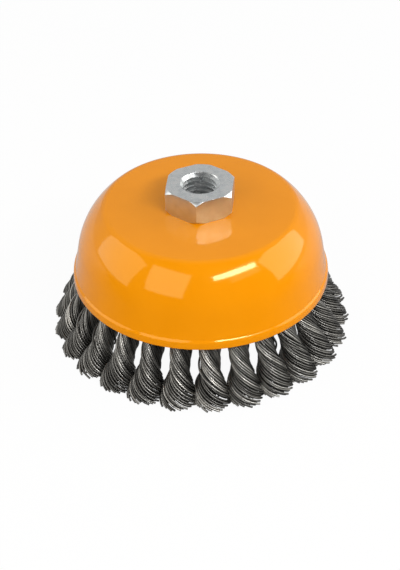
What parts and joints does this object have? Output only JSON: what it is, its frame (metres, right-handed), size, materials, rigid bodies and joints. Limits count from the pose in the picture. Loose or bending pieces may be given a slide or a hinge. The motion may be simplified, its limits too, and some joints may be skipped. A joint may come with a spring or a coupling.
{
  "type": "wire cup brush",
  "caption": "Knotted wire cup brush for an angle grinder: domed painted steel cup, threaded hexagon nut and a ring of flared twisted steel wire knots.",
  "frame": {"origin": "on the spindle axis, in the plane of the wire tips that the brush stands on", "axes": "+Z along the spindle axis, from the wire tips towards the nut; -Y is the side that the picture is taken from"},
  "size_m": [0.127, 0.1268, 0.0681],
  "materials": {
    "painted_cup": "glossy orange enamel",
    "zinc_nut": "bright zinc plate",
    "holder_steel": "plain pressed steel",
    "knot_wire": "drawn carbon steel wire, dark grey"
  },
  "bodies": {
    "root": {"cup": "painted_cup", "knot_holder": "holder_steel", "threaded_nut": "zinc_nut", "knot_01": "knot_wire", "knot_02": "knot_wire", "knot_03": "knot_wire", "knot_04": "knot_wire", "knot_05": "knot_wire", "knot_06": "knot_wire", "knot_07": "knot_wire", "knot_08": "knot_wire", "knot_09": "knot_wire", "knot_10": "knot_wire", "knot_11": "knot_wire", "knot_12": "knot_wire", "knot_13": "knot_wire", "knot_14": "knot_wire", "knot_15": "knot_wire", "knot_16": "knot_wire", "knot_17": "knot_wire", "knot_18": "knot_wire", "knot_19": "knot_wire", "knot_20": "knot_wire", "knot_21": "knot_wire", "knot_22": "knot_wire", "knot_23": "knot_wire", "knot_24": "knot_wire", "knot_25": "knot_wire", "knot_26": "knot_wire"}
  },
  "joints": []
}
